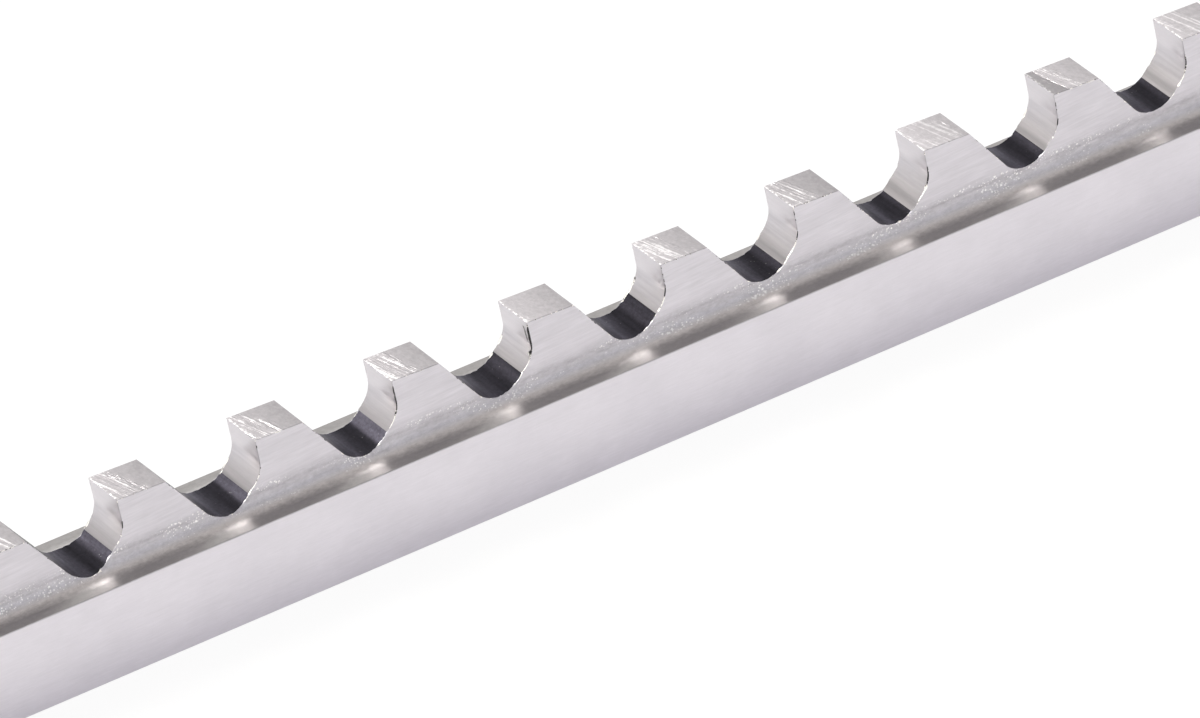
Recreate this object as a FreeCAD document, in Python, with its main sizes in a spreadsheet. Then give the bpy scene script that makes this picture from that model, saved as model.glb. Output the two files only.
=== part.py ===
"""Push keyway broach with a stepped body, one solid.

The broach lies on its back along X. The cutting edges face -X, the teeth point up +Z, and each
cutting tooth stands a little higher than the one before it. The origin is the centre of the back,
midway along the length. All sizes are in millimetres and degrees.
"""
import FreeCAD, Part
import math
import os
import Sketcher
from FreeCAD import Vector

SIZES = [
    ("body_width", 4.76, "width of the body, which slides in the slot of the bushing"),
    ("body_height", 4.97, "back of the broach to the ledges"),
    ("tooth_width", 2.21, "width of the toothed rib, which is the width of the cut"),
    ("root_radius", 0.8, "concave radius where the rib meets each ledge"),
    ("tooth_pitch", 7.54, "cutting edge to cutting edge"),
    ("tooth_rise", 0.089, "height that each cutting tooth gains on the one before it"),
    ("first_tooth_height", 3.406, "ledges to the first cutting edge"),
    ("cutting_teeth", 15, "teeth that each cut deeper"),
    ("finishing_teeth", 2, "teeth that follow at the full depth"),
    ("land_width", 2.63, "cutting edge to the end of the land behind it"),
    ("land_relief", 2.3, "angle at which the land falls away from its edge"),
    ("hook_angle", 12.0, "lean of the rake face at the cutting edge"),
    ("rake_flat", 1.2, "straight length of the rake face below the edge"),
    ("rake_radius", 1.46, "hollow ground into the rake face below its flat"),
    ("gullet_depth", 3.34, "cutting edge to the floor of the chip space"),
    ("gullet_radius", 1.52, "radius of the floor of the chip space"),
    ("gullet_offset", 1.55, "cutting edge to the middle of that floor"),
    ("pilot_length", 30.0, "front end to the first cutting edge"),
    ("pilot_height", 3.25, "ledges to the top of the plain front"),
    ("rear_length", 20.81, "last cutting edge to the rear end"),
    ("end_chamfer", 0.4, "bevel round both ends"),
]
OVERRUN = 2.0

START, END, CENTRE = range(1, 4)
X_AXIS, Y_AXIS = range(-1, -3, -1)
ORIGIN_POINT = (X_AXIS, START)

TOOTH_COUNT = "(sizes.cutting_teeth + sizes.finishing_teeth)"
TOTAL_RISE = "(sizes.cutting_teeth - 1) * sizes.tooth_rise"
TOP_HEIGHT = "sizes.body_height + sizes.first_tooth_height + " + TOTAL_RISE
LENGTH = "sizes.pilot_length + (" + TOOTH_COUNT + " - 1) * sizes.tooth_pitch + sizes.rear_length"
FRONT_END = "-(" + LENGTH + ") / 2"
REAR_END = "(" + LENGTH + ") / 2"
FIRST_EDGE = FRONT_END + " + sizes.pilot_length"


def make_sheet(doc):
    """Put every driving size in a cell of its own, named by its alias."""
    sheet = doc.addObject("Spreadsheet::Sheet", "sizes")
    for row, (alias, value, meaning) in enumerate(SIZES, start=1):
        sheet.set("A%d" % row, alias)
        sheet.set("B%d" % row, str(value))
        sheet.set("C%d" % row, meaning)
        sheet.setAlias("B%d" % row, alias)
    doc.recompute()
    return sheet


def origin_plane(body, role):
    """Return one of the body's own origin planes."""
    for feature in body.Origin.OriginFeatures:
        if feature.Role == role:
            return feature
    raise RuntimeError("no origin plane " + role)


class Profile:
    """A closed sketch outline on one of the body's planes, with bound dimensions."""

    def __init__(self, body, name, role):
        self.sketch = body.newObject("Sketcher::SketchObject", name)
        self.sketch.AttachmentSupport = (origin_plane(body, role), "")
        self.sketch.MapMode = "FlatFace"

    def line(self, start, end, construction=False):
        segment = Part.LineSegment(Vector(*start, 0), Vector(*end, 0))
        return self.sketch.addGeometry(segment, construction)

    def arc(self, centre, radius, from_angle, to_angle):
        """Add an arc that runs anticlockwise between two angles in radians."""
        circle = Part.Circle(Vector(*centre, 0), Vector(0, 0, 1), radius)
        return self.sketch.addGeometry(Part.ArcOfCircle(circle, from_angle, to_angle), False)

    def chain(self, points):
        """Join points by lines, the last point to the first, and return the lines."""
        lines = [self.line(a, b) for a, b in zip(points, points[1:] + points[:1])]
        for one, following in zip(lines, lines[1:] + lines[:1]):
            self.fix("Coincident", one, END, following, START)
        return lines

    def fix(self, kind, *parts):
        """Add a geometric constraint."""
        return self.sketch.addConstraint(Sketcher.Constraint(kind, *parts))

    def size(self, kind, expression, *parts):
        """Add a dimension that follows an expression of the sheet's sizes."""
        index = self.sketch.addConstraint(Sketcher.Constraint(kind, *parts))
        self.sketch.setExpression("Constraints[%d]" % index, expression)
        return index

    def place(self, geometry, point, across, up):
        """Tie a point to the sketch's origin by its two coordinates, with their present values."""
        at = self.sketch.getPoint(geometry, point)
        self.size("DistanceX", across, *ORIGIN_POINT, geometry, point, at.x)
        self.size("DistanceY", up, *ORIGIN_POINT, geometry, point, at.y)


def circle_crossing(first, first_radius, second, second_radius):
    """Return the crossing of two circles that lies lower and nearer +X."""
    across = second[0] - first[0]
    up = second[1] - first[1]
    gap = math.hypot(across, up)
    along = (gap ** 2 + first_radius ** 2 - second_radius ** 2) / (2 * gap)
    aside = math.sqrt(first_radius ** 2 - along ** 2)
    middle = (first[0] + across * along / gap, first[1] + up * along / gap)
    return middle[0] - up * aside / gap, middle[1] + across * aside / gap


def tangent_point(outside, centre, radius):
    """Return where the line from a point on the left touches the underside of a circle."""
    across = centre[0] - outside[0]
    up = centre[1] - outside[1]
    reach = math.hypot(across, up)
    direction = math.atan2(up, across) - math.asin(radius / reach)
    length = math.sqrt(reach ** 2 - radius ** 2)
    return outside[0] + length * math.cos(direction), outside[1] + length * math.sin(direction)


def angle_from(centre, point):
    return math.atan2(point[1] - centre[1], point[0] - centre[0])


def pad_bar(doc, body, sheet):
    """Extrude the stepped cross-section, with its two root radii, over the whole length."""
    half_body = sheet.body_width / 2
    half_rib = sheet.tooth_width / 2
    ledge = sheet.body_height
    radius = sheet.root_radius
    top = ledge + sheet.first_tooth_height + (sheet.cutting_teeth - 1) * sheet.tooth_rise
    section = Profile(body, "section", "YZ_Plane")
    back = section.line((-half_body, 0), (half_body, 0))
    right_side = section.line((half_body, 0), (half_body, ledge))
    right_ledge = section.line((half_body, ledge), (half_rib + radius, ledge))
    right_root = section.arc((half_rib + radius, ledge + radius), radius, math.pi, 1.5 * math.pi)
    right_flank = section.line((half_rib, ledge + radius), (half_rib, top))
    crest = section.line((half_rib, top), (-half_rib, top))
    left_flank = section.line((-half_rib, top), (-half_rib, ledge + radius))
    left_root = section.arc((-half_rib - radius, ledge + radius), radius, 1.5 * math.pi, 2 * math.pi)
    left_ledge = section.line((-half_rib - radius, ledge), (-half_body, ledge))
    left_side = section.line((-half_body, ledge), (-half_body, 0))
    for one, following in (
        (back, right_side), (right_side, right_ledge), (right_flank, crest), (crest, left_flank),
        (left_ledge, left_side), (left_side, back),
    ):
        section.fix("Coincident", one, END, following, START)
    section.fix("Tangent", right_ledge, END, right_root, END)
    section.fix("Tangent", right_root, START, right_flank, START)
    section.fix("Tangent", left_flank, END, left_root, END)
    section.fix("Tangent", left_root, START, left_ledge, START)
    for vertical in (right_side, right_flank, left_flank, left_side):
        section.fix("Vertical", vertical)
    for horizontal in (right_ledge, left_ledge):
        section.fix("Horizontal", horizontal)
    section.fix("PointOnObject", back, START, X_AXIS)
    section.fix("Symmetric", back, START, back, END, Y_AXIS)
    section.fix("Symmetric", crest, START, crest, END, Y_AXIS)
    section.fix("Equal", right_side, left_side)
    section.fix("Equal", right_root, left_root)
    section.size("DistanceX", "sizes.body_width", back, START, back, END, 2 * half_body)
    section.size("DistanceY", "sizes.body_height", right_side, START, right_side, END, ledge)
    section.size("DistanceX", "sizes.tooth_width", crest, END, crest, START, 2 * half_rib)
    section.size("DistanceY", TOP_HEIGHT, back, END, crest, START, top)
    section.size("Radius", "sizes.root_radius", right_root, radius)
    bar = body.newObject("PartDesign::Pad", "blank")
    bar.Profile = section.sketch
    bar.SideType = "Symmetric"
    bar.setExpression("Length", LENGTH)
    doc.recompute()
    return bar


def cut_through(doc, body, name, profile):
    """Cut an outline right through the bar, both ways from its plane."""
    pocket = body.newObject("PartDesign::Pocket", name)
    pocket.Profile = profile.sketch
    pocket.Type = "ThroughAll"
    pocket.SideType = "Symmetric"
    doc.recompute()
    return pocket


def repeat(doc, body, name, feature, direction, spacing, count):
    """Repeat a cut along a sketch axis."""
    pattern = body.newObject("PartDesign::LinearPattern", name)
    pattern.Originals = [feature]
    pattern.Direction = direction
    pattern.Mode = "Spacing"
    pattern.setExpression("Offset", spacing)
    pattern.setExpression("Occurrences", count)
    body.Tip = pattern
    doc.recompute()
    return pattern


def cut_pilot(doc, body, sheet, bar):
    """Lower the plain front, which guides the broach into the bushing before it cuts."""
    front = -bar.Length.Value / 2
    first_gullet = front + sheet.pilot_length - sheet.gullet_offset
    low = sheet.body_height + sheet.pilot_height
    high = low + OVERRUN
    outline = Profile(body, "pilot_outline", "XZ_Plane")
    corners = [(front - OVERRUN, low), (first_gullet, low), (first_gullet, high), (front - OVERRUN, high)]
    floor, end_wall, ceiling, front_wall = outline.chain(corners)
    for horizontal in (floor, ceiling):
        outline.fix("Horizontal", horizontal)
    for vertical in (end_wall, front_wall):
        outline.fix("Vertical", vertical)
    outline.place(floor, START, FRONT_END + " - %g" % OVERRUN, "sizes.body_height + sizes.pilot_height")
    outline.place(end_wall, END, FIRST_EDGE + " - sizes.gullet_offset", TOP_HEIGHT + " + %g" % OVERRUN)
    cut_through(doc, body, "pilot", outline)


def gap_outline(body, sheet, name, edge, edge_across, edge_up, rise):
    """Draw the chip space in front of a cutting edge and the land of the tooth before it.

    The outline runs from the cutting edge down the hooked rake flat, round the hollow of the rake
    face and the floor of the gullet, and up the straight back of the tooth before, then along its
    land to its cutting edge. Above the two edges it stands clear of the bar.
    """
    hook = math.radians(sheet.hook_angle)
    relief = math.radians(sheet.land_relief)
    head_room = (sheet.cutting_teeth - 1) * sheet.tooth_rise + OVERRUN
    before = (edge[0] - sheet.tooth_pitch, edge[1] - rise)
    land_end = (before[0] + sheet.land_width, before[1] - sheet.land_width * math.tan(relief))
    flat_end = (edge[0] + sheet.rake_flat * math.sin(hook), edge[1] - sheet.rake_flat * math.cos(hook))
    hollow = (
        flat_end[0] - sheet.rake_radius * math.cos(hook),
        flat_end[1] - sheet.rake_radius * math.sin(hook),
    )
    floor = (edge[0] - sheet.gullet_offset, edge[1] - sheet.gullet_depth + sheet.gullet_radius)
    ridge = circle_crossing(hollow, sheet.rake_radius, floor, sheet.gullet_radius)
    back_foot = tangent_point(land_end, floor, sheet.gullet_radius)
    above_edge = (edge[0] + head_room, edge[1] + head_room)
    above_before = (before[0], edge[1] + head_room)

    outline = Profile(body, name, "XZ_Plane")
    rake_flat = outline.line(edge, flat_end)
    rake_hollow = outline.arc(
        hollow, sheet.rake_radius, angle_from(hollow, ridge), angle_from(hollow, flat_end))
    gullet = outline.arc(
        floor, sheet.gullet_radius, angle_from(floor, back_foot), angle_from(floor, ridge))
    tooth_back = outline.line(back_foot, land_end)
    land = outline.line(land_end, before)
    rise_up = outline.line(before, above_before)
    ceiling = outline.line(above_before, above_edge)
    lean = outline.line(above_edge, edge)
    edge_to_edge = outline.line(before, edge, construction=True)
    outline.fix("Tangent", rake_flat, END, rake_hollow, END)
    outline.fix("Coincident", rake_hollow, START, gullet, END)
    outline.fix("Tangent", gullet, START, tooth_back, START)
    for one, following in (
        (tooth_back, land), (land, rise_up), (rise_up, ceiling), (ceiling, lean), (lean, rake_flat),
    ):
        outline.fix("Coincident", one, END, following, START)
    outline.fix("Coincident", edge_to_edge, START, land, END)
    outline.fix("Coincident", edge_to_edge, END, rake_flat, START)
    outline.fix("Vertical", rise_up)
    outline.fix("Horizontal", ceiling)
    outline.place(rake_flat, START, edge_across, edge_up)
    outline.size("DistanceX", "sizes.tooth_pitch", edge_to_edge, START, edge_to_edge, END,
                 sheet.tooth_pitch)
    if rise:
        outline.size("DistanceY", "sizes.tooth_rise", edge_to_edge, START, edge_to_edge, END, rise)
    else:
        outline.fix("Horizontal", edge_to_edge)
    outline.size("Distance", "sizes.rake_flat", rake_flat, sheet.rake_flat)
    outline.size("Angle", "(90 - sizes.hook_angle) * 1 deg", rake_flat, END, X_AXIS, END,
                 math.pi / 2 - hook)
    outline.size("Radius", "sizes.rake_radius", rake_hollow, sheet.rake_radius)
    outline.size("Radius", "sizes.gullet_radius", gullet, sheet.gullet_radius)
    outline.size("DistanceX", "sizes.gullet_offset", gullet, CENTRE, rake_flat, START,
                 sheet.gullet_offset)
    outline.size("DistanceY", "sizes.gullet_depth - sizes.gullet_radius", gullet, CENTRE,
                 rake_flat, START, sheet.gullet_depth - sheet.gullet_radius)
    outline.size("DistanceX", "sizes.land_width", land, END, land, START, sheet.land_width)
    outline.size("DistanceY", "sizes.land_width * tan(sizes.land_relief * 1 deg)", land, START,
                 land, END, before[1] - land_end[1])
    outline.size("DistanceY", TOTAL_RISE + " + %g" % OVERRUN, lean, END, lean, START, head_room)
    outline.size("DistanceX", TOTAL_RISE + " + %g" % OVERRUN, lean, END, lean, START, head_room)
    return outline


def cut_teeth(doc, body, sheet, bar):
    """Cut the rising teeth, then the finishing teeth that follow at the last height."""
    first_edge = (
        sheet.pilot_length - bar.Length.Value / 2,
        sheet.body_height + sheet.first_tooth_height,
    )
    outline = gap_outline(
        body, sheet, "cutting_outline", first_edge, FIRST_EDGE,
        "sizes.body_height + sizes.first_tooth_height", sheet.tooth_rise)
    gap = cut_through(doc, body, "cutting_gap", outline)
    repeat(doc, body, "cutting_gaps", gap, (outline.sketch, ["Axis0"]),
           "sqrt(sizes.tooth_pitch ^ 2 + sizes.tooth_rise ^ 2)", "sizes.cutting_teeth")

    finishing_edge = (
        first_edge[0] + sheet.cutting_teeth * sheet.tooth_pitch,
        first_edge[1] + (sheet.cutting_teeth - 1) * sheet.tooth_rise,
    )
    outline = gap_outline(
        body, sheet, "finishing_outline", finishing_edge,
        FIRST_EDGE + " + sizes.cutting_teeth * sizes.tooth_pitch", TOP_HEIGHT, 0)
    gap = cut_through(doc, body, "finishing_gap", outline)
    repeat(doc, body, "finishing_gaps", gap, (outline.sketch, ["Axis0"]),
           "sizes.tooth_pitch", "sizes.finishing_teeth")


def cut_rear_guide(doc, body, sheet, bar):
    """Give the last tooth its land, and carry the rear on level from the end of it."""
    rear = bar.Length.Value / 2
    edge = rear - sheet.rear_length
    top = sheet.body_height + sheet.first_tooth_height + (sheet.cutting_teeth - 1) * sheet.tooth_rise
    fall = sheet.land_width * math.tan(math.radians(sheet.land_relief))
    outline = Profile(body, "rear_outline", "XZ_Plane")
    corners = [
        (edge, top), (edge + sheet.land_width, top - fall), (rear + OVERRUN, top - fall),
        (rear + OVERRUN, top + OVERRUN), (edge, top + OVERRUN),
    ]
    land, guide, rear_wall, ceiling, edge_wall = outline.chain(corners)
    for horizontal in (guide, ceiling):
        outline.fix("Horizontal", horizontal)
    for vertical in (rear_wall, edge_wall):
        outline.fix("Vertical", vertical)
    outline.place(land, START, REAR_END + " - sizes.rear_length", TOP_HEIGHT)
    outline.place(rear_wall, END, REAR_END + " + %g" % OVERRUN, TOP_HEIGHT + " + %g" % OVERRUN)
    outline.size("DistanceX", "sizes.land_width", land, START, land, END, sheet.land_width)
    outline.size("DistanceY", "sizes.land_width * tan(sizes.land_relief * 1 deg)", land, END,
                 land, START, fall)
    cut_through(doc, body, "rear_guide", outline)


def bevel_corner(outline, corner, inward, corner_across, corner_up, bevel):
    """Draw the triangle that bevels one corner; inward is the way into the bar in X and up."""
    along = (corner[0] + inward[0] * bevel, corner[1])
    aside = (corner[0], corner[1] + inward[1] * bevel)
    lead, _, fall = outline.chain([corner, along, aside])
    outline.fix("Horizontal", lead)
    outline.fix("Vertical", fall)
    outline.fix("Equal", lead, fall)
    outline.place(lead, START, corner_across, corner_up)
    outline.size("Distance", "sizes.end_chamfer", lead, bevel)


def bevel_ends(doc, body, sheet, bar):
    """Bevel the back, top and side edges of both end faces."""
    reach = bar.Length.Value / 2
    half_body = sheet.body_width / 2
    top = sheet.body_height + sheet.first_tooth_height + (sheet.cutting_teeth - 1) * sheet.tooth_rise
    guide = top - sheet.land_width * math.tan(math.radians(sheet.land_relief))
    pilot = sheet.body_height + sheet.pilot_height
    guide_up = TOP_HEIGHT + " - sizes.land_width * tan(sizes.land_relief * 1 deg)"
    pilot_up = "sizes.body_height + sizes.pilot_height"
    side_view = Profile(body, "end_bevels_side_view", "XZ_Plane")
    for way, end_across, height, height_up in (
        (1, FRONT_END, pilot, pilot_up), (-1, REAR_END, guide, guide_up),
    ):
        bevel_corner(side_view, (-way * reach, 0), (way, 1), end_across, "0", sheet.end_chamfer)
        bevel_corner(side_view, (-way * reach, height), (way, -1), end_across, height_up,
                     sheet.end_chamfer)
    cut_through(doc, body, "end_bevels_back_and_top", side_view)
    plan_view = Profile(body, "end_bevels_plan_view", "XY_Plane")
    for way, end_across in ((1, FRONT_END), (-1, REAR_END)):
        for side in (1, -1):
            bevel_corner(plan_view, (-way * reach, side * half_body), (way, -side), end_across,
                         "%d * sizes.body_width / 2" % side, sheet.end_chamfer)
    return cut_through(doc, body, "end_bevels_sides", plan_view)


def check(doc, body):
    """Stop if a feature failed, a cut removed nothing or the shape isn't one valid solid."""
    for item in doc.Objects:
        if "Invalid" in item.State or "Error" in item.State:
            raise RuntimeError("%s did not rebuild: %s" % (item.Name, item.State))
    volume = 0.0
    for item in body.Group:
        if item.TypeId == "PartDesign::Pad":
            volume = item.Shape.Volume
        elif item.TypeId in ("PartDesign::Pocket", "PartDesign::LinearPattern"):
            if not item.Shape.Volume < volume:
                raise RuntimeError(item.Name + " removed nothing")
            volume = item.Shape.Volume
    shape = body.Shape
    if shape.isNull() or not shape.isValid() or len(shape.Solids) != 1:
        raise RuntimeError(body.Label + " is not one valid solid")


def main():
    doc = FreeCAD.newDocument("keyway_broach")
    sheet = make_sheet(doc)
    body = doc.addObject("PartDesign::Body", "broach_body")
    body.Label = "keyway_broach"
    bar = pad_bar(doc, body, sheet)
    cut_pilot(doc, body, sheet, bar)
    cut_teeth(doc, body, sheet, bar)
    cut_rear_guide(doc, body, sheet, bar)
    body.Tip = bevel_ends(doc, body, sheet, bar)
    body.Placement = FreeCAD.Placement(Vector(0, 0, 0), FreeCAD.Rotation())
    doc.recompute()
    check(doc, body)
    os.makedirs("parts", exist_ok=True)
    body.Shape.exportStep("parts/%s.step" % body.Label)


main()
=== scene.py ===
"""A push keyway broach, ground bright with dark gullet floors, lying on its back on a white table.

The broach is meshed from the same outline as its solid: a stepped section along X, cut across by
the chip spaces. Lengths are in millimetres until a vertex is written, and the frame gives the
overall size. Outlines are drawn in the plane of X and Z, so the second value of a point there is
its height above the back.
"""

import math

import bpy
from mathutils import Matrix, Vector, noise
from mathutils.geometry import delaunay_2d_cdt


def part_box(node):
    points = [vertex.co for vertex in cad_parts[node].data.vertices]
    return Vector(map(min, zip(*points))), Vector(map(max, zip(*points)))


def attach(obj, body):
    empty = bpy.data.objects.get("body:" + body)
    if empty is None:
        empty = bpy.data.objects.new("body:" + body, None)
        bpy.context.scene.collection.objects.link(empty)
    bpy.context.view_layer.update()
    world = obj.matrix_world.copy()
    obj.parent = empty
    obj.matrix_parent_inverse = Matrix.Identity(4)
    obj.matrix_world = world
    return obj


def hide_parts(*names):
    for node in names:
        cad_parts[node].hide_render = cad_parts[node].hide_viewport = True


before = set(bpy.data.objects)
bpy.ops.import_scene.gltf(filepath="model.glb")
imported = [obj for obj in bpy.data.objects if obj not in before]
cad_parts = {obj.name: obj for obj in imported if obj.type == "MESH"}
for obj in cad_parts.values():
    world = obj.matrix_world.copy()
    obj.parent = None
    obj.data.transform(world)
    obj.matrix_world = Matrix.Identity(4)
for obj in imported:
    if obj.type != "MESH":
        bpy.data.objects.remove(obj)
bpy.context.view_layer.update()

MM = 0.001
NODE = "keyway_broach"

# Sizes of the broach, as its solid has them.
BODY_HEIGHT = 4.97
TOOTH_WIDTH = 2.21
ROOT_RADIUS = 0.8
TOOTH_PITCH = 7.54
TOOTH_RISE = 0.089
FIRST_TOOTH_HEIGHT = 3.406
CUTTING_TEETH = 15
FINISHING_TEETH = 2
LAND_WIDTH = 2.63
LAND_RELIEF = math.radians(2.3)
HOOK_ANGLE = math.radians(12.0)
RAKE_FLAT = 1.2
RAKE_RADIUS = 1.46
GULLET_DEPTH = 3.34
GULLET_RADIUS = 1.52
GULLET_OFFSET = 1.55
PILOT_LENGTH = 30.0
PILOT_HEIGHT = 3.25
END_CHAMFER = 0.4

HALF_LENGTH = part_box(NODE)[1][0] / MM
HALF_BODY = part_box(NODE)[1][1] / MM
HALF_RIB = TOOTH_WIDTH / 2
TOOTH_COUNT = CUTTING_TEETH + FINISHING_TEETH
TEETH = range(1, TOOTH_COUNT + 1)

# Broken edges. Those beside a gullet are narrower, and ragged, from a depth below the cutting edges.
EDGE_BREAK = 0.03
GULLET_EDGE_BREAK = 0.014
GULLET_RAGGED = 0.09
NARROWING_DEPTH = 1.6
NARROWING_RUN = 0.5
BODY_EDGE_BREAK = 0.05
SHARPEST_MITRE = 0.3

# Wear beside the rake faces: how far the ridge above a gullet is worn round, and how burrs are
# turned over into lips, which change from painted shade to painted glints at a depth. A short
# stretch of edge is chipped where a random value passes the chip level.
RIDGE_WEAR = 0.45
BURR_WANDER = 1.2
LIP_OVERHANG = 0.3
LIP_FADE = 0.25
THINNEST_LIP = 0.01
LIP_CHANGE = 1.95
CHIP_LEVEL = 0.30

# Fineness of the mesh: lengths of its stretches, steps round its radii, and what is too small to
# count. Corners that agree in this many digits are one vertex.
OUTLINE_STEP = 0.08
PLAIN_STEP = 0.5
ROOT_STEPS = 12
EDGE_STEPS = 3
VERTEX_DIGITS = 4
NEGLIGIBLE = 1e-5
SLIVER = 1e-9
FILL_TOLERANCE = 1e-6

# What the teeth in the photo look like, each by itself: how far down a rake face is ground, where
# the honing strokes start and end across a land and how strong they are, and the land's level.
SHOWN_TEETH = range(3, 11)
GRIND_REACH = dict(zip(SHOWN_TEETH, (2.67, 2.76, 2.64, 2.64, 2.58, 2.94, 3.05, 2.90)))
STROKE_START = dict(zip(SHOWN_TEETH, (-0.7, -0.7, -0.7, -0.7, -0.7, -0.7, -0.7, 0.35)))
STROKE_REACH = dict(zip(SHOWN_TEETH, (0.9, 0.75, 0.95, -0.4, 1.2, 0.95, 1.7, 1.1)))
STROKE_FORCE = dict(zip(SHOWN_TEETH, (0.85, 0.85, 0.9, 1.0, 0.6, 0.95, 0.38, 0.6)))
LAND_LEVELS = dict(zip(SHOWN_TEETH, (0.95, 0.93, 0.97, 1.0, 0.99, 0.88, 1.08, 1.05)))
USUAL_START = -0.7
USUAL_REACH = 2.66
DEEP_REACH = 2.95

# Burrs on the near side: the depths where one starts and ends, its width high up and its width
# low down. Burrs on the far side have a width only. One near burr is folded twice, and its fold
# is a painted shadow on the rake face. Teeth outside the photo have the usual depths, and a near
# burr of any width up to the widest.
NEAR_LIPS = {
    3: (1.2, 1.7, 0.03, 0.0),
    4: (0.9, 2.9, 0.0, 0.03),
    5: (0.35, 2.6, 0.06, 0.03),
    6: (0.1, 2.9, 0.16, 0.045),
    7: (1.3, 2.6, 0.04, 0.03),
    8: (1.5, 2.95, 0.03, 0.045),
    9: (0.9, 2.8, 0.06, 0.045),
    10: (1.4, 1.9, 0.03, 0.0),
}
FAR_LIPS = {4: 0.05, 6: 0.09, 7: 0.06}
TWICE_FOLDED = 6
USUAL_NEAR_DEPTHS = (0.9, 2.6)
WIDEST_USUAL_LIP = 0.06
FAR_DEPTHS = (0.4, 3.0)
USUAL_FAR_LIP = 0.03

# How strong the painted highlight is in the gullet next to a tooth's rake face.
PAINTED_GULLET_HIGHLIGHTS = {3: 0.65, 4: 0.65, 5: 0.9}

# Numbers of the materials on the mesh, in the order of the finishes at the end.
SIDE, LAND, RAKE, GULLET, END, EDGE = range(6)


class Stretch:
    """One short piece of the side outline: two points, the outward normals there and its finish."""

    def __init__(self, start, end, start_normal, end_normal, finish):
        self.start = Vector(start)
        self.end = Vector(end)
        self.start_normal = Vector(start_normal)
        self.end_normal = Vector(end_normal)
        self.finish = finish

    def split(self, part):
        """Return the two stretches on either side of a point that lies part of the way along."""
        middle = self.start.lerp(self.end, part)
        normal = self.start_normal.lerp(self.end_normal, part).normalized()
        return (
            Stretch(self.start, middle, self.start_normal, normal, self.finish),
            Stretch(middle, self.end, normal, self.end_normal, self.finish),
        )


def straight(start, end, finish, step=OUTLINE_STEP):
    """Return a straight run of the outline as short stretches."""
    start, end = Vector(start), Vector(end)
    along = (end - start).normalized()
    normal = Vector((-along.y, along.x))
    count = max(1, round((end - start).length / step))
    points = [start.lerp(end, index / count) for index in range(count + 1)]
    return [Stretch(a, b, normal, normal, finish) for a, b in zip(points, points[1:])]


def hollow_arc(centre, radius, from_angle, to_angle, finish):
    """Return a run round the inside of a hollow, whose normals point to its centre."""
    count = max(2, round(abs(to_angle - from_angle) * radius / OUTLINE_STEP))
    angles = [from_angle + (to_angle - from_angle) * index / count for index in range(count + 1)]
    rays = [Vector((math.cos(angle), math.sin(angle))) for angle in angles]
    centre = Vector(centre)
    return [
        Stretch(centre + radius * a, centre + radius * b, -a, -b, finish)
        for a, b in zip(rays, rays[1:])
    ]


def angle_from(centre, point):
    """Return the angle at which a point is seen from a centre."""
    return math.atan2(point[1] - centre[1], point[0] - centre[0])


def circle_crossing(first, first_radius, second, second_radius):
    """Return the crossing of two circles that lies lower and nearer +X."""
    across = second[0] - first[0]
    up = second[1] - first[1]
    gap = math.hypot(across, up)
    along = (gap ** 2 + first_radius ** 2 - second_radius ** 2) / (2 * gap)
    aside = math.sqrt(first_radius ** 2 - along ** 2)
    middle = (first[0] + across * along / gap, first[1] + up * along / gap)
    return middle[0] - up * aside / gap, middle[1] + across * aside / gap


def tangent_point(outside, centre, radius):
    """Return where the line from a point on the left touches the underside of a circle."""
    across = centre[0] - outside[0]
    up = centre[1] - outside[1]
    reach = math.hypot(across, up)
    direction = math.atan2(up, across) - math.asin(radius / reach)
    length = math.sqrt(reach ** 2 - radius ** 2)
    return outside[0] + length * math.cos(direction), outside[1] + length * math.sin(direction)


def cutting_edge(tooth):
    """Return where a tooth's cutting edge is, in X and Z. Teeth are counted from 1."""
    rises = min(tooth, CUTTING_TEETH) - 1
    return (
        -HALF_LENGTH + PILOT_LENGTH + (tooth - 1) * TOOTH_PITCH,
        BODY_HEIGHT + FIRST_TOOTH_HEIGHT + rises * TOOTH_RISE,
    )


def land_end(tooth):
    """Return where the land behind a tooth's cutting edge ends, in X and Z."""
    edge = cutting_edge(tooth)
    return edge[0] + LAND_WIDTH, edge[1] - LAND_WIDTH * math.tan(LAND_RELIEF)


def by_chance(tooth, kind, low, high):
    """Return a value between two limits, always the same one for a tooth and kind of wear."""
    chance = 0.5 + noise.noise(Vector((tooth * 3.71, kind * 5.3, 0.9)))
    return low + (high - low) * min(max(chance, 0.0), 1.0)


def grind_reach(tooth):
    """Return how far below its cutting edge a rake face is ground bright."""
    usual = USUAL_REACH if tooth < SHOWN_TEETH[0] else DEEP_REACH
    return GRIND_REACH.get(tooth, usual + by_chance(tooth, 1, -0.08, 0.08))


def stroke_limits(tooth):
    """Return where a land's strokes start and end across it, their force and the land's level."""
    start = STROKE_START.get(tooth, USUAL_START)
    reach = STROKE_REACH.get(tooth, by_chance(tooth, 2, -0.3, 1.7))
    force = STROKE_FORCE.get(tooth, by_chance(tooth, 5, 0.4, 1.0))
    level = LAND_LEVELS.get(tooth, by_chance(tooth, 6, 0.88, 1.08))
    return start, reach, force, level


def lip_width(point, side):
    """Return how wide a burr has been turned over at a point beside a rake face, or 0 for none."""
    tooth = 1 + round((point.x - cutting_edge(1)[0]) / TOOTH_PITCH)
    depth = cutting_edge(tooth)[1] - point.y
    chance = by_chance(tooth, 3 + side, 0.0, WIDEST_USUAL_LIP)
    top, bottom, dark, bright = NEAR_LIPS.get(tooth, (*USUAL_NEAR_DEPTHS, chance, chance / 2))
    if side > 0:
        top, bottom, dark, bright = *FAR_DEPTHS, 0.0, FAR_LIPS.get(tooth, USUAL_FAR_LIP)
    width = dark if depth < LIP_CHANGE else bright
    inside = min(depth - top, bottom - depth)
    ragged = 0.75 + 1.1 * noise.noise(Vector((tooth * 2.3, side * 1.7, depth * 3.1)))
    gap_level = 0.6 if tooth in FAR_LIPS else 1.0
    if inside <= 0 or width <= 0 or (side > 0 and ragged < gap_level):
        return 0.0
    return width * min(1.0, inside / LIP_FADE) * max(ragged, 0.0)


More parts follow.
